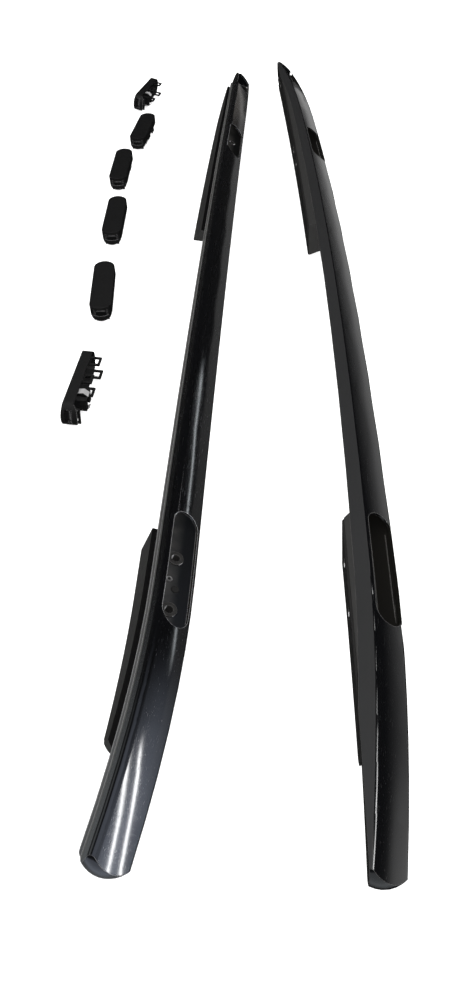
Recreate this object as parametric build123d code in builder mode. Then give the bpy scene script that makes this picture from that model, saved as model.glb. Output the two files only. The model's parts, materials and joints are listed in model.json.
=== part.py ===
"""Pair of roof side rails with their snap-in covers, laid out on a floor.

One rail is drawn in its own frame: X runs from the front tip to the rear tip, Y points
outboard and Z points up as on the car.  The other rail is its mirror image.  The left rail
stands on its roof line, the right rail lies rolled over towards its outboard side, and the
six covers lie beside them.  Lengths are in millimetres, angles in degrees.
"""
import os
from math import atan2, cos, degrees, radians, sin, tan

from build123d import *

os.makedirs("parts", exist_ok=True)

# Line of a rail, from the front tip to the rear tip
rail_length = 1850.0
arch_rise = 26.0
arch_bow = 11.0
front_bend_length = 280.0
front_bend_drop = 26.0
front_bend_flare = 24.0
rear_bend_length = 330.0
rear_bend_drop = 16.0

# Section of the bar, a two-chamber extrusion
bar_width = 41.0
inboard_height = 16.0
top_slope = 26.0
top_crown = 1.5
crest_inset = 2.0
crest_radius = 6.0
shoulder_radius = 2.5
lip_width = 2.5
lip_height = 3.0
bar_wall = 2.6
web_height = 6.0
nose_radius = 26.0
nose_rise = 9.0
upper_chamber_front = 110.0
upper_chamber_rear = 16.0
lower_chamber_front = 160.0
lower_chamber_rear = 150.0

# Access slots in the top of the bar: one placed from the front tip, two from the rear tip
slot_length = 138.0
slot_width = 32.0
slot_rim = 3.0
slot_cut = 8.0
front_slot_place = 287.0
middle_slot_place = 504.0
rear_slot_place = 88.0

# Roof line that the feet and the tips are cut to
roof_slope = 22.0
roof_front = 40.0
roof_middle = 20.0
roof_rear = 42.0
roof_margin = 60.0

# Feet and their pads
foot_neck = 5.0
foot_neck_inset = 4.0
foot_ledge = 4.4
foot_draft = 11.0
foot_inner_draft = 4.0
foot_depth = 60.0
foot_lead = 36.0
foot_round = 30.0
front_foot_start = 100.0
front_foot_end = 358.0
rear_foot_length = 850.0
pad_thickness = 2.0
pad_inset = 1.2

# Bolt sleeves, placed along the bar from the middle of each slot
sleeve_places = ((-41.0, 21.0), (-31.0, 31.0), (0.0,))
sleeve_bore = 8.6
sleeve_tube = 12.0
sleeve_flange = 16.0
sleeve_flange_height = 1.6
sleeve_fit = 0.2

# Covers: a moulded cap with clip legs, and a steel spring
cover_gap = 0.4
cover_skin = 3.0
cover_wall = 2.0
cover_skirt = 13.0
leg_height = 13.0
leg_thickness = 2.4
leg_spread = 20.0
loop_length = 18.0
loop_bar = 3.0
middle_loop_drop = 11.0
far_loop_place = 44.0
middle_loop_place = 4.0
end_frame_place = -60.0
end_frame_width = 22.0
end_frame_drop = 8.0
end_frame_lintel = 2.0
block_places = (-17.0, -35.0)
block_length = 7.0
block_width = 16.0
block_drop = 11.0
spring_place = -26.0
spring_width = 9.0
spring_gauge = 0.8
spring_spread = 22.0
spring_bulge = 2.2
spring_bow_drop = 6.0
spring_reach = -1.0

# Layout on the floor: place of the middle, and heading turned from +Y towards +X
left_place = (-88.5, 9.5)
left_heading = 1.0
right_place = (79.5, -2.5)
right_heading = -1.7
right_roll = 65.0
level_rounds = 4
cover_places = (
    (-287.0, 821.0, 11.0, -80.0),
    (-263.0, 594.0, 4.5, 0.0),
    (-282.0, 400.0, -1.0, 0.0),
    (-265.0, 184.0, -2.0, 0.0),
    (-251.0, -52.0, -4.9, 0.0),
    (-253.0, -295.0, 3.0, -85.0),
)

reach = 4 * max(bar_width, foot_depth)
half_width = bar_width / 2
top_width = bar_width - lip_width - crest_inset
crest_height = inboard_height + top_width * tan(radians(top_slope))
slope_sin = sin(radians(top_slope))
slope_cos = cos(radians(top_slope))
slot_middle = slot_rim + slot_width / 2
slot_centre = (
    slot_middle * slope_cos - half_width,
    inboard_height + slot_middle * slope_sin,
)
slot_places = (front_slot_place, rail_length - middle_slot_place, rail_length - rear_slot_place)
bolt_places = [
    [place + step for step in steps] for place, steps in zip(slot_places, sleeve_places)
]
front_bolts = bolt_places[0]
rear_bolts = bolt_places[1] + bolt_places[2]
rear_foot_start = rail_length - rear_foot_length
slot_across = slot_centre[0] * slope_cos + slot_centre[1] * slope_sin
slot_rise = slot_centre[1] * slope_cos - slot_centre[0] * slope_sin
rail_pieces = {}


def centre_line():
    """Return the line of the bar's underside: three arcs that run into each other."""
    half = rail_length / 2

    def arch(x):
        share = ((x - half) / half) ** 2
        return Vector(x, -arch_bow * share, -arch_rise * share)

    front_tip = arch(0) + Vector(0, front_bend_flare, -front_bend_drop)
    rear_tip = arch(rail_length) + Vector(0, 0, -rear_bend_drop)
    with BuildLine() as line:
        long_arc = ThreePointArc(
            arch(front_bend_length), arch(half), arch(rail_length - rear_bend_length)
        )
        TangentArc(long_arc @ 0, front_tip, tangent=-(long_arc % 0))
        TangentArc(long_arc @ 1, rear_tip, tangent=long_arc % 1)
    return line.wire()


spine = centre_line()


def plane_at(x, lean=0.0):
    """Return the plane on the rail's line at x, facing up and leaned inboard, X along the line."""
    distance = x * spine.length / rail_length
    along = spine.tangent_at(distance, position_mode=PositionMode.LENGTH)
    up = Vector(0, -sin(radians(lean)), cos(radians(lean)))
    return Plane(
        origin=spine.position_at(distance, position_mode=PositionMode.LENGTH),
        x_dir=along,
        z_dir=along.cross(up.cross(along)),
    )


def swept(profile):
    """Return the solid that a profile, drawn outboard and up, makes along the rail's line."""
    with BuildPart() as solid:
        with BuildSketch(Plane(origin=spine @ 0, x_dir=(0, 1, 0), z_dir=spine % 0)):
            add(profile.sketch)
        sweep(path=spine)
    return solid.part


def side_block(points):
    """Return a wide block with the outline that points give, seen from the side."""
    with BuildPart() as block:
        with BuildSketch(Plane.XZ):
            with BuildLine():
                Polyline(*points, close=True)
            make_face()
        extrude(amount=reach, both=True)
    return block.part


def stretch(start, end):
    """Return a block that holds the rail between two places along it."""
    return side_block(
        (
            (start, -reach),
            (start, reach),
            (end, reach),
            (end, -reach),
        )
    )


def roof_block(raise_by):
    """Return the solid under the roof line, lifted by raise_by."""
    slope = radians(roof_slope)
    with BuildPart() as block:
        with BuildSketch(Plane(origin=(0, 0, 0), x_dir=(1, 0, 0), z_dir=(0, -cos(slope), sin(slope)))):
            with BuildLine():
                roof = ThreePointArc(
                    (-roof_margin, raise_by - roof_front),
                    (rail_length / 2, raise_by - roof_middle),
                    (rail_length + roof_margin, raise_by - roof_rear),
                )
                Polyline(
                    roof @ 1,
                    (rail_length + roof_margin, -reach),
                    (-roof_margin, -reach),
                    roof @ 0,
                )
            make_face()
        extrude(amount=reach, both=True)
    return block.part


def end_cutter(end, inward, radius):
    """Return what is cut away at an end to leave it round when seen from above."""
    with BuildPart() as cutter:
        with BuildSketch(Plane(origin=end, x_dir=inward, z_dir=(0, 0, 1))):
            Rectangle(2 * radius, reach)
            with Locations((radius, 0)):
                Circle(radius, mode=Mode.SUBTRACT)
        extrude(amount=reach, both=True)
    return cutter.part


def nose_cutter(tip, inward, level):
    """Return what is cut away at a tip to leave a ball nose, with its centre above level."""
    ahead = Vector(inward.X, inward.Y, 0).normalized()
    centre = Vector(tip.X, tip.Y, level + nose_rise) + ahead * nose_radius
    with BuildPart(Plane(origin=centre, x_dir=-ahead, z_dir=(0, 0, 1))) as cutter:
        Box(reach, reach, reach, align=(Align.MIN, Align.CENTER, Align.CENTER))
        Sphere(nose_radius, mode=Mode.SUBTRACT)
    return cutter.part


def bolt_holes(places):
    """Return the solids that clear the bolt sleeves at these places along the rail."""
    planes = [plane_at(place) for place in places]
    with BuildPart() as holes:
        with Locations(*[plane.location for plane in planes]):
            Cylinder(sleeve_tube / 2 + sleeve_fit, reach)
        with Locations(*[plane.offset(web_height + bar_wall).location for plane in planes]):
            Cylinder(
                sleeve_flange / 2 + sleeve_fit,
                sleeve_flange_height,
                align=(Align.CENTER, Align.CENTER, Align.MIN),
            )
    return holes.part


roof = roof_block(0)
pad_top = roof_block(pad_thickness)
front_cutter = nose_cutter(spine @ 0, spine % 0, -roof_front)
rear_cutter = nose_cutter(spine @ 1, -(spine % 1), -roof_rear)
foot_front = plane_at(front_foot_start)
foot_cutter = end_cutter(foot_front.origin, foot_front.x_dir, foot_round)

# Core of the bar's section: flat inboard face, crowned top, round crest, steep outboard side
with BuildSketch() as core_profile:
    with BuildLine():
        Polyline(
            (half_width - lip_width - crest_inset, crest_height),
            (half_width - lip_width, 0),
            (-half_width, 0),
            (-half_width, inboard_height),
        )
        ThreePointArc(
            (-half_width, inboard_height),
            (
                top_width / 2 - half_width - top_crown * slope_sin,
                (inboard_height + crest_height) / 2 + top_crown * slope_cos,
            ),
            (half_width - lip_width - crest_inset, crest_height),
        )
    make_face()
    fillet(core_profile.vertices().sort_by(Axis.Y)[-1], crest_radius)
    fillet(core_profile.vertices().group_by(Axis.X)[0].sort_by(Axis.Y)[-1], shoulder_radius)

# Whole section, with the ledge that runs along the foot of the outboard side
with BuildSketch() as bar_profile:
    add(core_profile.sketch)
    Rectangle(half_width, lip_height, align=(Align.MIN, Align.MIN))

# Chambers above and below the web that the bolts clamp
with BuildSketch() as upper_profile:
    add(offset(core_profile.sketch, amount=-bar_wall, mode=Mode.PRIVATE))
    with Locations((0, web_height + bar_wall)):
        Rectangle(reach, reach, align=(Align.CENTER, Align.MIN), mode=Mode.INTERSECT)
with BuildSketch() as lower_profile:
    add(offset(core_profile.sketch, amount=-bar_wall, mode=Mode.PRIVATE))
    with Locations((0, web_height)):
        Rectangle(reach, reach, align=(Align.CENTER, Align.MAX), mode=Mode.INTERSECT)

with BuildPart() as upper_chamber:
    add(swept(upper_profile))
    add(stretch(upper_chamber_front, rail_length - upper_chamber_rear), mode=Mode.INTERSECT)
with BuildPart() as lower_chamber:
    add(swept(lower_profile))
    add(stretch(lower_chamber_front, rail_length - lower_chamber_rear), mode=Mode.INTERSECT)

# Bar: hollow, cut to the roof line at its round tips, with the three access slots
with BuildPart() as bar:
    add(swept(bar_profile))
    add(upper_chamber.part, mode=Mode.SUBTRACT)
    add(lower_chamber.part, mode=Mode.SUBTRACT)
    add(front_cutter, mode=Mode.SUBTRACT)
    add(rear_cutter, mode=Mode.SUBTRACT)
    add(roof, mode=Mode.SUBTRACT)
    for place in slot_places:
        with BuildSketch(plane_at(place, top_slope).offset(slot_rise)):
            with Locations((0, slot_across)):
                SlotOverall(slot_length, slot_width)
        extrude(amount=slot_cut, both=True, mode=Mode.SUBTRACT)
    add(bolt_holes(front_bolts + rear_bolts), mode=Mode.SUBTRACT)
rail_pieces["bar"] = bar

# Section of a foot: flush with the inboard face, and a ledge below a neck outboard
draft = tan(radians(foot_draft))
inner_draft = tan(radians(foot_inner_draft))
with BuildSketch() as foot_profile:
    with BuildLine():
        Polyline(
            (-half_width, 0),
            (half_width - foot_neck_inset, 0),
            (half_width - foot_neck_inset, -foot_neck),
            (half_width + foot_ledge, -foot_neck),
            (half_width + foot_ledge + (foot_depth - foot_neck) * draft, -foot_depth),
            (foot_depth * inner_draft - half_width, -foot_depth),
            close=True,
        )
    make_face()
with BuildSketch() as pad_profile:
    add(offset(foot_profile.sketch, amount=-pad_inset, mode=Mode.PRIVATE))

foot_solid = swept(foot_profile)
pad_solid = swept(pad_profile)
front_block = side_block(
    (
        (front_foot_start, -foot_depth),
        (front_foot_start, foot_depth),
        (front_foot_end + foot_lead, foot_depth),
        (front_foot_end - foot_lead, -foot_depth),
    )
)
rear_block = side_block(
    (
        (rear_foot_start + foot_lead, -foot_depth),
        (rear_foot_start - foot_lead, foot_depth),
        (rail_length + roof_margin, foot_depth),
        (rail_length + roof_margin, -foot_depth),
    )
)

for name, block, bolts in (("front", front_block, front_bolts), ("rear", rear_block, rear_bolts)):
    with BuildPart() as foot:
        add(block)
        add(pad_top, mode=Mode.SUBTRACT)
        add(foot_solid, mode=Mode.INTERSECT)
        add(rear_cutter, mode=Mode.SUBTRACT)
        add(foot_cutter, mode=Mode.SUBTRACT)
        add(bolt_holes(bolts), mode=Mode.SUBTRACT)
    rail_pieces[f"{name}_foot"] = foot
    with BuildPart() as pad:
        add(block)
        add(pad_top, mode=Mode.INTERSECT)
        add(roof, mode=Mode.SUBTRACT)
        add(pad_solid, mode=Mode.INTERSECT)
        add(rear_cutter, mode=Mode.SUBTRACT)
        add(foot_cutter, mode=Mode.SUBTRACT)
        add(bolt_holes(bolts), mode=Mode.SUBTRACT)
    rail_pieces[f"{name}_pad"] = pad
    with BuildPart() as sleeves:
        for place in bolts:
            flange = plane_at(place).offset(web_height + bar_wall)
            with Locations(flange.location):
                Cylinder(
                    sleeve_flange / 2,
                    sleeve_flange_height,
                    align=(Align.CENTER, Align.CENTER, Align.MIN),
                )
                Cylinder(sleeve_tube / 2, foot_depth, align=(Align.CENTER, Align.CENTER, Align.MAX))
                Cylinder(sleeve_bore / 2, reach, mode=Mode.SUBTRACT)
        add(roof, mode=Mode.SUBTRACT)
    rail_pieces[f"{name}_sleeves"] = sleeves

# Cap of a cover: a skin with the form of the bar's top, a skirt, and the legs that clip it in
cover_length = slot_length - 2 * cover_gap
cover_width = slot_width - 2 * cover_gap
leg_foot = -(cover_skirt + leg_height)
frame_foot = -(cover_skirt + end_frame_drop)
with BuildSketch() as top_profile:
    with Locations(Location((0, 0, 0), (0, 0, -top_slope))):
        add(bar_profile.sketch.moved(Location((-slot_centre[0], -slot_centre[1], 0))))

with BuildPart() as cap:
    with BuildSketch():
        SlotOverall(cover_length, cover_width)
    extrude(amount=cover_skirt, both=True)
    with BuildSketch(Plane.YZ):
        add(top_profile.sketch)
    extrude(amount=slot_length, both=True, mode=Mode.INTERSECT)
    with BuildSketch(Plane.XY.offset(-cover_skin)):
        SlotOverall(cover_length - 2 * cover_wall, cover_width - 2 * cover_wall)
    extrude(amount=-cover_skirt, mode=Mode.SUBTRACT)
    with BuildSketch(Plane.XY.offset(-cover_skin)):
        with Locations((end_frame_place, 0)):
            Rectangle(cover_length, end_frame_width, align=(Align.MAX, Align.CENTER))
    extrude(amount=-cover_skirt, mode=Mode.SUBTRACT)
    for side in (-1, 1):
        with BuildSketch(Plane.XZ.offset(side * leg_spread / 2)):
            for place, drop in ((far_loop_place, leg_height), (middle_loop_place, middle_loop_drop)):
                foot_level = -(cover_skirt + drop)
                with Locations((place, foot_level)):
                    Rectangle(loop_length, -foot_level - cover_skin, align=(Align.CENTER, Align.MIN))
                with Locations((place, foot_level + loop_bar)):
                    Rectangle(
                        loop_length - 2 * loop_bar,
                        drop - loop_bar,
                        align=(Align.CENTER, Align.MIN),
                        mode=Mode.SUBTRACT,
                    )
        extrude(amount=leg_thickness / 2, both=True)
    with BuildSketch(Plane.YZ.offset(end_frame_place)):
        with Locations((0, frame_foot)):
            Rectangle(end_frame_width, -frame_foot - cover_skin, align=(Align.CENTER, Align.MIN))
        with Locations((0, frame_foot + loop_bar)):
            Rectangle(
                end_frame_width - 2 * loop_bar,
                -frame_foot - cover_skin - loop_bar - end_frame_lintel,
                align=(Align.CENTER, Align.MIN),
                mode=Mode.SUBTRACT,
            )
    extrude(amount=leg_thickness / 2, both=True)
    with BuildSketch(Plane.XY.offset(-cover_skin)):
        with Locations(*[(place, 0) for place in block_places]):
            Rectangle(block_length, block_width)
    extrude(amount=-(cover_skirt + block_drop - cover_skin))

# Spring of a cover: one strip of steel bent to two bowed leaves
with BuildPart() as spring:
    with BuildSketch(Plane.YZ.offset(spring_place)):
        with BuildLine():
            half_spread = spring_spread / 2
            web = -(cover_skin + spring_gauge / 2)
            bow = (half_spread + spring_bulge, -(cover_skirt + spring_bow_drop))
            tip = (half_spread - spring_bulge, leg_foot - spring_reach)
            Polyline(
                (-tip[0], tip[1]),
                (-bow[0], bow[1]),
                (-half_spread, web),
                (half_spread, web),
                bow,
                tip,
            )
        trace(line_width=spring_gauge)
    extrude(amount=spring_width / 2, both=True)


def turn(heading, roll, tilt=0.0):
    """Return the turn from a piece's own frame to the floor, with its X axis along +Y."""
    return (
        Location((0, 0, 0), (0, 0, -heading))
        * Location((0, 0, 0), (tilt, 0, 0))
        * Location((0, 0, 0), (0, roll, 0))
        * Location((0, 0, 0), (0, 0, 90))
    )


def level(pieces, roll):
    """Return the tilt that brings the lowest corners of the front and the rear to one height."""
    tilt = 0.0
    for _ in range(level_rounds):
        turned = turn(0, roll, tilt)
        corners = [vertex.center() for piece in pieces for vertex in piece.moved(turned).vertices()]
        front = min((c for c in corners if c.Y < 0), key=lambda c: c.Z)
        rear = min((c for c in corners if c.Y > 0), key=lambda c: c.Z)
        tilt += degrees(atan2(front.Z - rear.Z, rear.Y - front.Y))
    return tilt


def seat(pieces, place, heading, roll):
    """Return where pieces lie: turned, level from end to end, and set down on the floor."""
    turned = turn(heading, roll, level(pieces, roll))
    low = min(piece.moved(turned).bounding_box().min.Z for piece in pieces)
    return Location((*place, -low)) * turned


left_pieces = {}
right_pieces = {}
for name, piece in rail_pieces.items():
    left_pieces[name] = piece.part.moved(Location((-rail_length / 2, 0, 0)))
    with BuildPart() as twin:
        mirror(left_pieces[name], about=Plane.XZ)
    right_pieces[name] = twin.part

placed = {}
for side, pieces, place, heading, roll in (
    ("left", left_pieces, left_place, left_heading, roof_slope),
    ("right", right_pieces, right_place, right_heading, right_roll),
):
    location = seat(pieces.values(), place, heading, roll)
    for name, piece in pieces.items():
        placed[f"{side}_{name}"] = piece.moved(location)

for number, (x, y, heading, roll) in enumerate(cover_places, start=1):
    location = seat((cap.part, spring.part), (x, y), heading, roll)
    placed[f"cover_{number}"] = cap.part.moved(location)
    placed[f"cover_{number}_spring"] = spring.part.moved(location)

# The origin is on the floor, under the middle of the whole layout
boxes = [piece.bounding_box() for piece in placed.values()]
middle = Location(
    (
        -(min(box.min.X for box in boxes) + max(box.max.X for box in boxes)) / 2,
        -(min(box.min.Y for box in boxes) + max(box.max.Y for box in boxes)) / 2,
        0,
    )
)
for name, piece in placed.items():
    with BuildPart() as node:
        with Locations(middle):
            add(piece)
    node.part.label = name
    export_step(node.part, f"parts/{name}.step")
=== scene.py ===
"""Pair of gloss black roof side rails with their snap-in covers, laid out on a pale floor.

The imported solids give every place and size, in metres.  Y runs along the rails from their
front ends, which are nearest the camera, and Z is up.
"""
import json

import bpy
import numpy as np
from mathutils import Matrix, Vector


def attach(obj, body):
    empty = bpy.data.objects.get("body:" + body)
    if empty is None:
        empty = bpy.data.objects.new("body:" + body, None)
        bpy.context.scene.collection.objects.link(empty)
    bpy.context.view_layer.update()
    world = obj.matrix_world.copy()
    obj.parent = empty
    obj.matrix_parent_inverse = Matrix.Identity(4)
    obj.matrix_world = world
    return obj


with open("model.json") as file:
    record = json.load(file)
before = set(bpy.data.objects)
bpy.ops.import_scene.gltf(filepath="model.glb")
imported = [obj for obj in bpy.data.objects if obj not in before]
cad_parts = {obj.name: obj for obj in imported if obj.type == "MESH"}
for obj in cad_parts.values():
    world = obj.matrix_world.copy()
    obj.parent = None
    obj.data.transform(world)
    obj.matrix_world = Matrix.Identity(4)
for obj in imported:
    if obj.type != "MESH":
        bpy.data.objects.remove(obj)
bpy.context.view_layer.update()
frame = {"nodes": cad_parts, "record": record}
nodes = frame["nodes"]


# Pads: soft seals between the feet and the car's roof, moulded in black rubber.
# They are dull all over, with a little dust in the skin and along the edges.
# A noise is a scale and a detail, and a grain is a scale and a depth.
pad_colours = (
    (0.0075, 0.0075, 0.0075, 1.0),
    (0.013, 0.0125, 0.012, 1.0),
    (0.022, 0.021, 0.020, 1.0),
)
pad_roughness = (0.7, 0.9)
pad_grain = (1500.0, 0.00005)
pad_edge = 0.0008
mould_cloud = (32.0, 5.0)
mould_patches = (140.0, 3.0)
mould_grain_detail = 2.0
mould_grain_strength = 0.6
edge_samples = 6
edge_cosines = (0.93, 0.7)
ledge_shade_cosines = (0.93, 0.98)
ledge_shade_shine = (0.5, 0.1)


def node_kit(tree, last):
    """Return a function that adds nodes to a tree, and one that fills the sockets of its last node."""

    def fill(node, sockets):
        """Fill the input sockets of a node, each with a link or with a value."""
        for socket, value in sockets.items():
            if isinstance(value, bpy.types.NodeSocket):
                tree.links.new(value, node.inputs[socket])
            else:
                node.inputs[socket].default_value = value

    def add(kind, sockets, **options):
        """Add a node, set its options, then fill its sockets."""
        made = tree.nodes.new("ShaderNode" + kind)
        for option, value in options.items():
            setattr(made, option, value)
        fill(made, sockets)
        return made

    def finish_last(sockets):
        """Fill the sockets of the last node."""
        fill(tree.nodes[last], sockets)

    return add, finish_last


def finish_kit(name):
    """Start a finish: return it, a function that adds its nodes, and one that fills its shader."""
    finish = bpy.data.materials.new(name)
    finish.use_nodes = True
    add, coat = node_kit(finish.node_tree, "Principled BSDF")
    return finish, add, coat


def noise(add, place, scale, detail, roughness=0.5):
    """Return soft noise over a place."""
    sockets = {"Vector": place, "Scale": scale, "Detail": detail, "Roughness": roughness}
    return add("TexNoise", sockets).outputs["Fac"]


def ramp(add, value, source, target=(0.0, 1.0), **options):
    """Return a value carried from a source range to a target range, and held at both ends."""
    sockets = {"Value": value, "From Min": source[0], "From Max": source[1]}
    sockets.update({"To Min": target[0], "To Max": target[1]})
    return add("MapRange", sockets, **options).outputs["Result"]


def spread(add, share, target):
    """Return a share, from 0 to 1, spread over a target range."""
    return ramp(add, share, (0.0, 1.0), target)


def blend(add, share, first, second, kind="RGBA"):
    """Return a colour, or another kind of value, taken from the first to the second by a share."""
    return add("Mix", {"Factor": share, "A": first, "B": second}, data_type=kind).outputs["Result"]


def dot(add, first, second):
    """Return the dot product of two vectors."""
    return add("VectorMath", {0: first, 1: second}, operation="DOT_PRODUCT").outputs["Value"]


def facing(add, normal, direction, cosines):
    """Return 1 where a normal points along a direction, and fade it out between two cosines."""
    return ramp(add, dot(add, normal, direction), cosines)


def rounded_edges(add, radius):
    """Return a rounded normal, and how far it leaves the face's own normal, from 0 to 1."""
    rounded = add("Bevel", {"Radius": radius}, samples=edge_samples).outputs["Normal"]
    face = add("NewGeometry", {}).outputs["Normal"]
    return rounded, facing(add, rounded, face, edge_cosines)


def moulded(name, colours, roughness, grain, edge, shaded_ledge=None):
    """Return the finish of a moulding.

    A slow cloud takes the colour from the first to the second, and the edges take it to the
    third, which is wear, and on the cover ends also painted highlight.  A quicker cloud sets the
    roughness.  Fine noise is the grain, as bump on the rounded normal.  A shaded ledge, where given, is a
    direction and the colour of painted shade on faces that look there.
    """
    finish, add, coat = finish_kit(name)
    place = add("TexCoord", {}).outputs["Object"]
    rounded, edge_mask = rounded_edges(add, edge)
    body = blend(add, noise(add, place, *mould_cloud), colours[0], colours[1])
    colour = blend(add, edge_mask, body, colours[2])
    # Painted shade: faces that look along the direction take the shade colour and little shine.
    if shaded_ledge:
        direction, shade_colour = shaded_ledge
        ledge = facing(add, add("NewGeometry", {}).outputs["Normal"], direction, ledge_shade_cosines)
        colour = blend(add, ledge, colour, shade_colour)
        coat({"Specular IOR Level": spread(add, ledge, ledge_shade_shine)})
    grain_scale, grain_depth = grain
    skin = {
        "Height": noise(add, place, grain_scale, mould_grain_detail),
        "Normal": rounded,
        "Strength": mould_grain_strength,
        "Distance": grain_depth,
    }
    coat(
        {
            "Base Color": colour,
            "Roughness": spread(add, noise(add, place, *mould_patches), roughness),
            "Normal": add("Bump", skin).outputs["Normal"],
        }
    )
    return finish


def dress(ending, finish):
    """Give a finish to every node whose name has this ending."""
    for node, solid in nodes.items():
        if node.endswith(ending):
            solid.data.materials.clear()
            solid.data.materials.append(finish)


dress("pad", moulded("pad_rubber", pad_colours, pad_roughness, pad_grain, pad_edge))


# Feet: hard black plastic mouldings with a fine spark grain, bolted under the bars.
# Their faces are an even dark grey, a little paler where handling has rubbed the edges, and the
# ledge under the bar is painted black as shade, where the bar's lip shades it.
foot_colours = (
    (0.020, 0.020, 0.0195, 1.0),
    (0.027, 0.0265, 0.0255, 1.0),
    (0.045, 0.044, 0.042, 1.0),
)
foot_roughness = (0.5, 0.68)
foot_grain = (1100.0, 0.00008)
foot_edge = 0.0012
# Painted shade: the black of the ledge under the bar, which lies in the lip's shadow.
ledge_shade_black = (0.0035, 0.0035, 0.0035, 1.0)
rail_up = {"left": (0.375, 0.0, 0.927), "right": (0.906, 0.0, 0.423)}
for side, up in rail_up.items():
    foot_finish = moulded(
        side + "_foot_plastic", foot_colours, foot_roughness, foot_grain, foot_edge, (up, ledge_shade_black)
    )
    dress(side + "_front_foot", foot_finish)
    dress(side + "_rear_foot", foot_finish)


# Bars: bent aluminium extrusions, lacquered gloss black on the top and the outboard side.
# The inboard face, the lower lip and the floor of the slots are left matte.  Handling has put
# fine scratches and dust in the gloss.  The slot edges are painted pale, partly as lost lacquer and
# partly as painted highlight, and the slot floors carry painted shade inboard of the bolts.
rail_inboard = {"left": (0.927, 0.0, -0.375), "right": (-0.423, 0.0, 0.906)}
bolts = {mount["name"]: mount for mount in frame["record"]["mounts"]}
lacquer_black = (0.0018, 0.0019, 0.0023, 1.0)
lacquer_dust = (0.030, 0.030, 0.032, 1.0)
matte_black = (0.016, 0.0163, 0.017, 1.0)
matte_pale = (0.021, 0.0212, 0.022, 1.0)
lip_grey = (0.050, 0.049, 0.046, 1.0)
lip_pale = (0.066, 0.065, 0.061, 1.0)
slot_dark = (0.012, 0.0118, 0.011, 1.0)
slot_pale = (0.036, 0.034, 0.031, 1.0)
# Painted shade: the slot floors are taken to this near black inboard of the line of bolts.
slot_painted_shade = (0.0018, 0.0018, 0.0018, 1.0)
chamber_brown = (0.0075, 0.0070, 0.0062, 1.0)
# Painted highlight and wear: pale rims on the slot and shoulder edges, brighter on the left bar.
rim_wear_and_highlight_greys = {"left": (0.42, 0.42, 0.43, 1.0), "right": (0.15, 0.147, 0.142, 1.0)}
lacquer_roughness = (0.07, 0.13)
scratch_roughness = 0.34
matte_roughness = (0.46, 0.6)
wall_shine = (0.5, 0.05)
bar_edge = 0.0010
bar_bump = {"Strength": 0.25, "Distance": 0.00004}

# Where each of these finishes lies, as cosines of facing and as heights or widths that fade.
inner_cosines = (0.93, 0.97)
ledge_cosines = (0.95, 0.98)
wall_cosines = (0.6, 0.8)
ledge_reach = (0.016, 0.012)
lip_reach = (0.0095, 0.0085)
lip_top_reach = (0.0062, 0.0050)
wall_reach = (0.002, 0.004)
painted_shade_reaches = {"left": (-0.004, 0.007), "right": (-0.02, -0.015)}
slot_reach = 0.06

# Patterns in the finishes: noises, dust in cells, and scratches by their turn and stretch.
haze_noise = (9.0, 4.0)
grain_noise = (900.0, 2.0)
peel_noise = (240.0, 1.0)
stain_noise = (55.0, 4.0, 0.65)
stain_range = (0.35, 0.65)
speck_scale = 260.0
speck_reach = (0.10, 0.05)
dusty_haze = (0.5, 0.75)
scratch_sets = ((7.0, (1100.0, 14.0, 1100.0)), (-16.0, (1300.0, 20.0, 1300.0)))
scratch_noise = (1.0, 1.0)
scratch_crest = (0.69, 0.74)
scratch_tint = 0.05

# How the base line of a bar is found.
base_slices = 40
base_stations = 24
base_rounds = 5
base_degree = 8
base_margin = 0.002


def points_of(mesh):
    """Return the points of a mesh, one row each."""
    points = np.empty(3 * len(mesh.vertices))
    mesh.vertices.foreach_get("co", points)
    return points.reshape(-1, 3)


def reckon(add, operation, *values):
    """Return what a math node makes of some values."""
    return add("Math", dict(enumerate(values)), operation=operation).outputs["Value"]


def base_line(bar, up):
    """Return stations along a bar and the level of its underside there, measured along up.

    The level is a polynomial through the lowest point of each slice across the bar.  Slices
    that hold no point of the underside lie above it, and are left out round by round.
    """
    points = points_of(bar)
    level = points @ np.array(up)
    slices = np.linspace(points[:, 1].min(), points[:, 1].max(), base_slices + 1)
    held = np.digitize(points[:, 1], slices[1:-1])
    lowest = np.array(
        [np.flatnonzero(held == k)[np.argmin(level[held == k])] for k in np.unique(held)]
    )
    for _ in range(base_rounds):
        curve = np.polyfit(points[lowest, 1], level[lowest], base_degree)
        lowest = lowest[level[lowest] < np.polyval(curve, points[lowest, 1]) + base_margin]
    stations = np.linspace(slices[0], slices[-1], base_stations)
    return stations, np.polyval(curve, stations)


def above_base(add, place, along, bar, up):
    """Return how far a place lies above a bar's base line, measured along up.

    A curve node holds the line's levels at even stations, as shares of their range.
    """
    stations, levels = base_line(bar, up)
    lowest, highest = levels.min(), levels.max()
    shares = (levels - lowest) / (highest - lowest)
    curve = add("FloatCurve", {"Value": ramp(add, along, (stations[0], stations[-1]))})
    line = curve.mapping.curves[0].points
    line[0].location = (0.0, shares[0])
    line[1].location = (1.0, shares[-1])
    for station, share in zip(np.linspace(0.0, 1.0, base_stations)[1:-1], shares[1:-1]):
        line.new(station, share)
    curve.mapping.update()
    base = spread(add, curve.outputs["Value"], (lowest, highest))
    return reckon(add, "SUBTRACT", dot(add, place, up), base)


def inboard_of_bolts(add, place, along, spots, inboard):
    """Return how far inboard of the line of bolts a place lies.

    The line is a parabola over Y, bend * y * y + lean * y + start, fitted to the bolts' spots.
    """
    bend, lean, start = np.polyfit(spots[:, 1], spots @ np.array(inboard), 2)
    sloped = reckon(add, "MULTIPLY_ADD", along, bend, lean)
    line = reckon(add, "MULTIPLY_ADD", along, sloped, start)
    return reckon(add, "SUBTRACT", dot(add, place, inboard), line)


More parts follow.
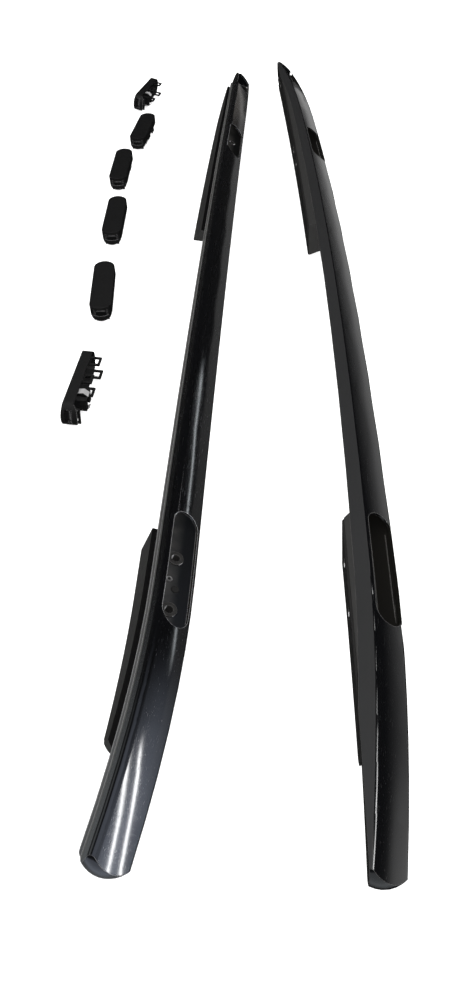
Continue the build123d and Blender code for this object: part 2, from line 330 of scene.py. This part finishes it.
def chamber_walls(add, normal, along, across, spots, inboard):
    """Return 1 on the walls inside the slots, which stand beside the line of bolts and face it.

    They count only between the front of the first slot and the rear of the last one.
    """
    walls = []
    for hand in (1.0, -1.0):
        inwards = tuple(-hand * c for c in inboard)
        beside = ramp(add, across, tuple(hand * reach for reach in wall_reach))
        walls.append(reckon(add, "MULTIPLY", facing(add, normal, inwards, wall_cosines), beside))
    behind = reckon(add, "GREATER_THAN", along, spots[:, 1].min() - slot_reach)
    ahead = reckon(add, "LESS_THAN", along, spots[:, 1].max() + slot_reach)
    between = reckon(add, "MULTIPLY", behind, ahead)
    return reckon(add, "MULTIPLY", reckon(add, "MAXIMUM", *walls), between)


def dust_specks(add, place, haze):
    """Return 1 on specks of dust: the middles of small cells, where the haze is thick."""
    cells = add("TexVoronoi", {"Vector": place, "Scale": speck_scale}).outputs["Distance"]
    return reckon(add, "MULTIPLY", ramp(add, cells, speck_reach), ramp(add, haze, dusty_haze))


def scratches(add, place):
    """Return 1 on fine scratches: the crests of noises that are turned about Z and drawn out on Y."""
    scratch = 0.0
    for turn, stretch in scratch_sets:
        drawing = {"Vector": place, "Rotation": (0.0, 0.0, np.radians(turn)), "Scale": stretch}
        drawn = add("Mapping", drawing).outputs["Vector"]
        crest = ramp(add, noise(add, drawn, *scratch_noise), scratch_crest)
        scratch = reckon(add, "MAXIMUM", crest, scratch)
    return scratch


def lacquer(side):
    """Return the finish of a bar: matte on the inboard face and the low ledges, gloss elsewhere.

    Low ledges are faces near the base line: slot floors look up, and the lip looks outboard.
    The slot floors are stained, and carry painted shade inboard of the line of bolts.  The gloss has
    dust, scratches and a light orange peel, the matte has a grain, and the edges show a pale rim, partly
    worn lacquer and partly painted highlight.
    """
    bar, up, inboard = side + "_bar", rail_up[side], rail_inboard[side]
    outboard = tuple(-c for c in inboard)
    spots = np.array([bolt["pos_m"] for name, bolt in bolts.items() if name.startswith(side)])
    finish, add, coat = finish_kit(bar + "_lacquer")
    place = add("TexCoord", {}).outputs["Object"]
    normal = add("NewGeometry", {}).outputs["Normal"]
    along = add("SeparateXYZ", {0: place}).outputs["Y"]
    above = above_base(add, place, along, nodes[bar].data, up)
    across = inboard_of_bolts(add, place, along, spots, inboard)
    walls = chamber_walls(add, normal, along, across, spots, inboard)
    rounded, edge_mask = rounded_edges(add, bar_edge)
    slot_floor, lip_side = (
        reckon(add, "MULTIPLY", facing(add, normal, direction, ledge_cosines), ramp(add, above, reach))
        for direction, reach in ((up, ledge_reach), (outboard, lip_reach))
    )
    ledge = reckon(add, "MAXIMUM", slot_floor, lip_side)
    matte = reckon(add, "MAXIMUM", facing(add, normal, inboard, inner_cosines), ledge)

    haze = noise(add, place, *haze_noise)
    scratch = scratches(add, place)
    gloss = blend(add, dust_specks(add, place, haze), lacquer_black, lacquer_dust)
    gloss = blend(add, reckon(add, "MULTIPLY", scratch, scratch_tint), gloss, lacquer_dust)
    dull = blend(add, haze, matte_black, matte_pale)
    lip = blend(add, haze, lip_grey, lip_pale)
    stain = ramp(add, noise(add, place, *stain_noise), stain_range)
    slot = blend(add, stain, slot_dark, slot_pale)
    # Painted shade on the slot floors, inboard of the line of bolts.
    slot = blend(add, ramp(add, across, painted_shade_reaches[side]), slot, slot_painted_shade)
    on_lip = reckon(add, "MAXIMUM", ramp(add, above, lip_top_reach), lip_side)
    bare = blend(add, ledge, dull, blend(add, on_lip, slot, lip))
    face = blend(add, walls, blend(add, matte, gloss, bare), chamber_brown)

    grain = noise(add, place, *grain_noise)
    sheen = spread(add, haze, lacquer_roughness)
    scuffed = blend(add, scratch, sheen, scratch_roughness, "FLOAT")
    flat = spread(add, grain, matte_roughness)
    relief = blend(add, matte, noise(add, place, *peel_noise), grain, "FLOAT")
    coat(
        {
            # Painted highlight and wear: the edges take the pale rim grey.
            "Base Color": blend(add, edge_mask, face, rim_wear_and_highlight_greys[side]),
            "Specular IOR Level": spread(add, walls, wall_shine),
            "Roughness": blend(add, matte, scuffed, flat, "FLOAT"),
            "Normal": add("Bump", {"Height": relief, "Normal": rounded, **bar_bump}).outputs["Normal"],
        }
    )
    return finish


for side in rail_up:
    dress(side + "_bar", lacquer(side))


# Sleeves: turned steel tubes with a flange, pressed into the feet to take the roof bolts.
# The flanges are dull with oil and their edges are rubbed.  The faces that look inboard and a
# little forward carry a painted highlight, a pale glint on one side of each bore.
sleeve_dark = (0.016, 0.0155, 0.015, 1.0)
sleeve_oil = (0.026, 0.025, 0.024, 1.0)
sleeve_worn = (0.17, 0.168, 0.165, 1.0)
# Painted highlight: the pale glint on one side of each sleeve.
sleeve_painted_glint = (0.85, 0.85, 0.86, 1.0)
sleeve_noise = (700.0, 3.0)
sleeve_metallic = 0.2
steel_roughness = (0.22, 0.42)
glint_inboard = 0.866
glint_forward = (0.0, -0.5, 0.0)
glint_cosines = (0.84, 0.92)
for side, inboard in rail_inboard.items():
    sleeve_finish, add, coat = finish_kit(side + "_sleeve_steel")
    place = add("TexCoord", {}).outputs["Object"]
    normal = add("NewGeometry", {}).outputs["Normal"]
    marks = noise(add, place, *sleeve_noise)
    rounded, edge_mask = rounded_edges(add, bar_edge)
    oiled = blend(add, marks, sleeve_dark, sleeve_oil)
    rubbed = blend(add, edge_mask, oiled, sleeve_worn)
    # Painted highlight: faces that look inboard and a little forward take a pale glint.
    glint_side = facing(add, normal, glint_inboard * np.array(inboard) + glint_forward, glint_cosines)
    coat(
        {
            "Base Color": blend(add, glint_side, rubbed, sleeve_painted_glint),
            "Roughness": spread(add, marks, steel_roughness),
            "Normal": rounded,
            "Metallic": sleeve_metallic,
        }
    )
    dress(side + "_front_sleeves", sleeve_finish)
    dress(side + "_rear_sleeves", sleeve_finish)


# Eyelets and plugs: beside the sleeves of each front slot sit a small steel eyelet, pressed into
# the floor of the slot, and a black plastic plug in the drain hole.  Profiles are radius and
# height, and places are rearward and outboard of the middle between the two bolts.
steel_bright = (0.52, 0.52, 0.53, 1.0)
steel_dull = (0.30, 0.295, 0.29, 1.0)
steel_detail = 4.0
steel_bump = {"Strength": 0.3, "Distance": 0.00003}
eyelet_stretch = (600.0, 600.0, 600.0)
eyelet_metallic = 0.85
eyelet_profile = np.array(
    [(0.0017, 0.0), (0.0017, 0.0009), (0.0021, 0.0012), (0.0028, 0.0012), (0.0034, 0.0)]
)
hole_profile = np.array([(0.0017, 0.0006), (0.0017, 0.0)])
plug_profile = np.array([(0.0028, 0.0007), (0.0030, 0.0012), (0.0038, 0.0012), (0.0042, 0.0)])
eyelet_place = (0.005, 0.0035)
plug_place = (-0.006, -0.0035)
flange_height = 0.0016
turned_steps = 36
fittings = []


def steel(name, stretch, metallic):
    """Return a steel finish: stretched noise in the colour, the roughness and a light bump."""
    finish, add, coat = finish_kit(name)
    place = add("TexCoord", {}).outputs["Object"]
    drawn = add("Mapping", {"Vector": place, "Scale": stretch}).outputs["Vector"]
    marks = noise(add, drawn, 1.0, steel_detail)
    coat(
        {
            "Base Color": blend(add, marks, steel_bright, steel_dull),
            "Roughness": spread(add, marks, steel_roughness),
            "Normal": add("Bump", {"Height": marks, **steel_bump}).outputs["Normal"],
            "Metallic": metallic,
        }
    )
    return finish


def new_piece(name, points, faces, finish, slot):
    """Add a piece that is made here from its points and faces."""
    mesh = bpy.data.meshes.new(name)
    mesh.from_pydata(points.tolist(), [], faces)
    mesh.materials.append(finish)
    piece = bpy.data.objects.new(name, mesh)
    bpy.context.scene.collection.objects.link(piece)
    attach(piece, "root")
    fittings.append(piece)


def turned(profile, pierced, place, axis):
    """Return the points and faces of a turned piece: a profile swept round an axis from a place.

    A point at angle a is place + radius * (cos a * u + sin a * v) + height * axis, where u and v
    stand across the axis.  A pierced piece closes its profile, and a solid one has flat ends.
    """
    u = np.cross(axis, (0.0, 1.0, 0.0))
    u /= np.linalg.norm(u)
    v = np.cross(axis, u)
    angle = np.linspace(0.0, 2 * np.pi, turned_steps, endpoint=False)[:, None, None]
    radius, height = profile[None, :, :1], profile[None, :, 1:]
    points = place + radius * (np.cos(angle) * u + np.sin(angle) * v) + height * axis
    count = len(profile)
    step, along = np.mgrid[0:turned_steps, 0 : count - 1 + pierced]
    after, beyond = (step + 1) % turned_steps, (along + 1) % count
    corners = ((step, along), (step, beyond), (after, beyond), (after, along))
    faces = np.stack([turn * count + row for turn, row in corners], -1).reshape(-1, 4).tolist()
    if not pierced:
        first = np.arange(turned_steps) * count
        faces += [first.tolist(), (first + count - 1)[::-1].tolist()]
    return points.reshape(-1, 3), faces


def slot_floor_at(bolt):
    """Return where a bolt's axis meets the slot floor: the top of its bore, less the flange."""
    half_length = bolt["dims"]["length_mm"] / 1000 / 2
    return np.array(bolt["pos_m"]) + np.array(bolt["axis"]) * (half_length - flange_height)


eyelet_finish = steel("eyelet_steel", eyelet_stretch, eyelet_metallic)
plug_finish = moulded("plug_plastic", pad_colours, pad_roughness, pad_grain, pad_edge)
for side, inboard in rail_inboard.items():
    first, second = bolts[side + "_bolt_1"], bolts[side + "_bolt_2"]
    axis = np.array(first["axis"]) + np.array(second["axis"])
    axis /= np.linalg.norm(axis)
    heads = slot_floor_at(first), slot_floor_at(second)
    rearward = (heads[1] - heads[0]) * np.sign(heads[1][1] - heads[0][1])
    rearward /= np.linalg.norm(rearward)
    for name, spot, profile, pierced, finish, slot in (
        ("eyelet", eyelet_place, eyelet_profile, True, eyelet_finish, "sleeve_steel"),
        ("eyelet_hole", eyelet_place, hole_profile, False, plug_finish, "foot_black"),
        ("plug", plug_place, plug_profile, False, plug_finish, "foot_black"),
    ):
        place = (heads[0] + heads[1]) / 2 + spot[0] * rearward - spot[1] * np.array(inboard)
        new_piece(f"{side}_{name}", *turned(profile, pierced, place, axis), finish, slot)


# Covers: caps moulded in black plastic, with a spark-eroded texture on the top and clip legs below.
# Their edges are rubbed, and the ends carry a painted highlight on the moulded rim.
cover_numbers = range(1, 7)
cover_body = ((0.0030, 0.0030, 0.0032, 1.0), (0.0052, 0.0052, 0.0055, 1.0))
cover_rubbed = (0.030, 0.030, 0.031, 1.0)
cover_roughness = (0.42, 0.62)
cover_grain = (1300.0, 0.0001)
cover_edge = 0.0009
cover_finish = moulded(
    "cover_plastic", (*cover_body, cover_rubbed), cover_roughness, cover_grain, cover_edge
)
for number in cover_numbers:
    dress(f"cover_{number}", cover_finish)


# Cover ends: a low apron moulded round the near end of each cover, and a web with ribs that fills
# the frame there.  Same plastic as the caps, with the edges painted pale, as wear and as painted
# highlight.
# Sizes are in a cover's own axes: X runs along it, and the origin lies cover_foot above its foot.
# Painted highlight and wear: the pale edges of the cover ends.
end_rubbed_and_highlight = (0.34, 0.34, 0.345, 1.0)
end_edge = 0.0008
apron_radii = np.array([0.0155, 0.0155, 0.0140, 0.0140])
apron_at_foot = np.array([True, False, False, True])
apron_middle = -0.053
apron_top = -0.0128
apron_depth = 0.0075
apron_angles = np.radians(np.linspace(-74.0, 74.0, 61))
apron_wrap = 1.2
apron_least = 0.01
end_boxes = np.array(
    [
        ((-0.0605, -0.00795, -0.01795), (-0.0595, 0.00795, -0.00505)),
        ((-0.0620, -0.0101, -0.0200), (-0.06115, -0.0088, -0.0060)),
        ((-0.0620, 0.0088, -0.0200), (-0.06115, 0.0101, -0.0060)),
        ((-0.0609, -0.0060, -0.0096), (-0.0604, 0.0060, -0.0088)),
    ]
)
box_sides = np.array(
    [(0, 1, 3, 2), (4, 6, 7, 5), (0, 4, 5, 1), (2, 3, 7, 6), (0, 2, 6, 4), (1, 5, 7, 3)]
)
cover_5_heading = np.radians(-4.9)
cover_foot = 0.026


def cover_end():
    """Return the points and faces of a cover's end, in the cover's own axes.

    The apron is swept round an angle a: x = middle - radius * cos a and y = radius * sin a, with a
    level top and a foot that is lower by depth * sqrt(cos(wrap * a)).  The web and its ribs are
    boxes, and each corner of a box takes its x, y and z from the low or the high end.
    """
    angle = apron_angles[:, None]
    foot = apron_top - apron_depth * np.sqrt(np.cos(apron_wrap * angle).clip(apron_least))
    level = np.where(apron_at_foot, foot, apron_top)
    sweep = np.stack(
        [apron_middle - apron_radii * np.cos(angle), apron_radii * np.sin(angle), level], -1
    ).reshape(-1, 3)
    count = len(apron_radii)
    step, along = np.mgrid[0 : len(apron_angles) - 1, 0:count]
    beyond = (along + 1) % count
    here, after = count * step, count * (step + 1)
    walls = np.stack([here + along, here + beyond, after + beyond, after + along], -1)
    near_end = np.arange(count)
    far_end = near_end + len(sweep) - count
    pick = np.indices((2, 2, 2)).reshape(3, -1).T
    corners = end_boxes[:, pick, np.arange(3)].reshape(-1, 3)
    starts = len(sweep) + len(pick) * np.arange(len(end_boxes))
    boxes = starts[:, None, None] + box_sides
    faces = np.concatenate(
        [walls.reshape(-1, count), near_end[None, ::-1], far_end[None], boxes.reshape(-1, 4)]
    )
    return np.concatenate([sweep, corners]), faces.tolist()


def carried(points, start, end):
    """Return points moved by the turn and shift that best carry the start points to the end points."""
    u, _, vt = np.linalg.svd((start - start.mean(0)).T @ (end - end.mean(0)))
    flip = np.diag([1.0, 1.0, np.sign(np.linalg.det(u @ vt))])
    return (points - start.mean(0)) @ (u @ flip @ vt) + end.mean(0)


end_finish = moulded(
    "cover_end_plastic", (*cover_body, end_rubbed_and_highlight), cover_roughness, cover_grain, end_edge
)
own_points, end_faces = cover_end()

# The fifth cover lies level on its foot, so the end is put there first.  The springs carry it on.
cap = points_of(nodes["cover_5"].data)
sine, cosine = np.sin(cover_5_heading), np.cos(cover_5_heading)
axes = np.array([(sine, cosine, 0.0), (-cosine, sine, 0.0), (0.0, 0.0, 1.0)])
origin = (cap.min(0) + cap.max(0)) / 2
origin[2] = cap[:, 2].min() + cover_foot
springs = {number: points_of(nodes[f"cover_{number}_spring"].data) for number in cover_numbers}
for number, spring in springs.items():
    end_points = carried(own_points @ axes + origin, springs[5], spring)
    new_piece(f"cover_{number}_end", end_points, end_faces, end_finish, "cover_black")


# Springs: strips of bright spring steel, bent to two leaves and pushed between the blocks of the
# covers.  Rolling has left fine lines along the strip.
spring_stretch = (60.0, 700.0, 700.0)
spring_metallic = 0.3
dress("spring", steel("spring_steel", spring_stretch, spring_metallic))


# Floor: a plain white studio floor, painted matte and laid just under the pads and the covers.
# It glows a little so that it stays white, and the gloss of the rails doesn't mirror it.
floor_width = 12.0
floor_drop = 0.0005
floor_paint = {
    "Base Color": (0.9, 0.9, 0.9, 1.0),
    "Roughness": 0.9,
    "Emission Color": (1.0, 1.0, 1.0, 1.0),
    "Emission Strength": 0.4,
}
bpy.ops.mesh.primitive_plane_add(size=floor_width, location=(0, 0, -floor_drop))
floor = bpy.context.object
floor.name = "floor"
floor.visible_glossy = False
floor_finish, _, coat = finish_kit("floor_white")
coat(floor_paint)
floor.data.materials.append(floor_finish)


# Light: an even white tent with a broad key from behind the camera.  Gloss sees a dim tent,
# and panels beside the rails that only the solids of one group mirror.  The solids don't
# mirror each other.
tent_white = (1.0, 1.0, 1.0, 1.0)
tent_diffuse = 1.45
tent_gloss = 0.02
key_power = 1.6
key_spread = np.radians(40)
key_tilt = np.radians((38, -12, 0))
cool = (0.9, 0.96, 1.0)
blue = (0.74, 0.82, 1.0)
warm = (1.0, 0.93, 0.86)
white = (1.0, 1.0, 1.0)
sheet_middle = 0.5

# Each panel's name, which begins with its group, then corner, across, upward, radiance, colour, soft.
panels = (
    ("left_strip_high", (0.55, -0.70, 0.25), (0, -0.35, -0.22), (0, 0, 0.034), 40.0, white, (0.15, 0.45)),
    ("left_strip_low", (0.55, -0.70, 0.16), (0, -0.35, -0.265), (0, 0, 0.034), 40.0, white, (0.15, 0.45)),
    ("left_glow", (0.62, -0.40, -0.25), (0, -1.3, 0), (0, 0, 0.68), 4.0, blue, (0.5, 0.5)),
    ("left_over", (-0.8, -1.5, 1.2), (0, 1.4, 0), (1.6, 0, 0), 1.6, blue, (0.45, 0.2)),
    ("left_high", (0.75, -0.30, 0.25), (0, -1.4, 0), (0, 0, 1.2), 1.3, blue, (0.45, 0.25)),
    ("left_under", (-0.8, -1.7, -0.3), (1.2, 0, 0), (0, 1.5, 0), 0.22, cool, (0.2, 0.45)),
    ("left_nose", (-1.4, -2.6, -0.29), (1.5, 0, 0), (0, 1.65, 0), 1.1, blue, (0.15, 0.15)),
    ("left_away", (-0.9, -1.4, -0.1), (0, 1.3, 0), (0, 0, 0.9), 1.0, cool, (0.45, 0.3)),
    ("left_line", (0.55, 0.45, 0.14), (0, -1.0, -0.105), (0, 0, 0.022), 9.0, cool, (0.1, 0.4)),
    ("left_floor", (0.05, -1.0, -0.02), (3.0, 0, 0), (0, 4.0, 0), 0.2, white, (0.1, 0.1)),
    ("left_far", (0.55, 4.0, -0.16), (0, -1.85, 0), (0, 0, 0.5), 0.17, warm, (0.08, 0.15)),
    ("left_behind", (-2.0, -3.5, 0.7), (0, 0, 2.0), (4.0, 0, 0), 0.8, cool, (0.2, 0.2)),
    ("right_low", (0.55, 3.0, -0.25), (0, -4.3, 0), (0, 0, 0.45), 0.6, white, (0.05, 0.5)),
    ("right_near", (0.55, -0.70, -0.25), (0, -0.6, 0), (0, 0, 0.40), 0.7, white, (0.35, 0.2)),
    ("right_over", (0.15, -1.35, 1.0), (0, 0.6, 0), (0.9, 0, 0), 18.0, white, (0.3, 0.3)),
    ("right_nose", (-0.9, -2.6, -0.29), (1.8, 0, 0), (0, 1.65, 0), 0.7, cool, (0.15, 0.15)),
    ("right_behind", (-2.0, -3.5, 0.7), (0, 0, 2.0), (4.0, 0, 0), 0.8, cool, (0.2, 0.2)),
    ("fittings_sky", (-1.5, -2.0, 2.0), (0, 4.0, 0), (3.0, 0, 0), 0.6, white, (0.2, 0.2)),
)
scene = bpy.context.scene
scene.view_settings.view_transform = "Standard"
scene.world = bpy.data.worlds.new("tent")
scene.world.use_nodes = True
add, coat = node_kit(scene.world.node_tree, "Background")
gloss_ray = add("LightPath", {}).outputs["Is Glossy Ray"]
coat({"Color": tent_white, "Strength": spread(add, gloss_ray, (tent_diffuse, tent_gloss))})
key = bpy.data.lights.new("key", "SUN")
key.energy = key_power
key.angle = key_spread
key.use_shadow = False
key_object = bpy.data.objects.new("key", key)
key_object.rotation_euler = key_tilt
key_object.visible_glossy = False
scene.collection.objects.link(key_object)
lit_groups = {group: bpy.data.collections.new(group + "_lit") for group in ("left", "right", "fittings")}
for node, solid in nodes.items():
    solid.visible_glossy = False
    lit_groups[node.split("_")[0] if node.endswith("_bar") else "fittings"].objects.link(solid)
for piece in fittings:
    piece.visible_glossy = False
    lit_groups["fittings"].objects.link(piece)


def panel(name, corner, across, upward, radiance, colour, soft):
    """Add a glossy-only area light that fades out towards its edges.

    Its sheet runs from a corner by the vectors across and upward.  The radiance is multiplied
    on each axis by a smooth step over that axis's share in soft, in from both edges.
    """
    corner, across, upward = Vector(corner), Vector(across), Vector(upward)
    light = bpy.data.lights.new(name, "AREA")
    light.shape = "RECTANGLE"
    light.size = across.length
    light.size_y = upward.length
    light.energy = radiance * np.pi * light.size * light.size_y
    light.color = colour
    light.use_nodes = True
    add, coat = node_kit(light.node_tree, "Emission")
    sheet = add("SeparateXYZ", {0: add("NewGeometry", {}).outputs["Parametric"]})
    fades = []
    for axis, share in zip(("X", "Y"), soft):
        edge = reckon(add, "PINGPONG", sheet.outputs[axis], sheet_middle)
        fades.append(ramp(add, edge, (0.0, share), interpolation_type="SMOOTHSTEP"))
    coat({"Strength": reckon(add, "MULTIPLY", *fades)})
    light_object = bpy.data.objects.new(name, light)
    light_object.location = corner + (across + upward) / 2
    facing_out = across.cross(upward).normalized()
    turn = np.array([-across.normalized(), upward.normalized(), -facing_out]).T
    light_object.rotation_euler = Matrix(turn.tolist()).to_euler()
    light_object.visible_camera = False
    light_object.visible_diffuse = False
    light_object.light_linking.receiver_collection = lit_groups[name.split("_")[0]]
    scene.collection.objects.link(light_object)


for row in panels:
    panel(*row)


# Camera: over the front ends, looking down along the rails as in the photo.
# Its focal length and its axis are in pixels of a picture of the photo's size.
photo_size = np.array([468.0, 982.0])
focal_pixels = 780.9
axis_pixel = np.array([271.5, 563.8])
camera_pitch = 47.74
camera_place = (0.0907, -1.1382, 0.603)
camera = bpy.data.cameras.new("camera")
camera.sensor_fit = "VERTICAL"
camera.sensor_height = 24.0
camera.lens = focal_pixels / photo_size[1] * camera.sensor_height
camera.shift_x = (photo_size[0] / 2 - axis_pixel[0]) / photo_size[1]
camera.shift_y = (axis_pixel[1] - photo_size[1] / 2) / photo_size[1]
camera_object = bpy.data.objects.new("camera", camera)
camera_object.location = camera_place
camera_object.rotation_euler = (np.radians(90 - camera_pitch), 0, 0)
scene.collection.objects.link(camera_object)
scene.camera = camera_object
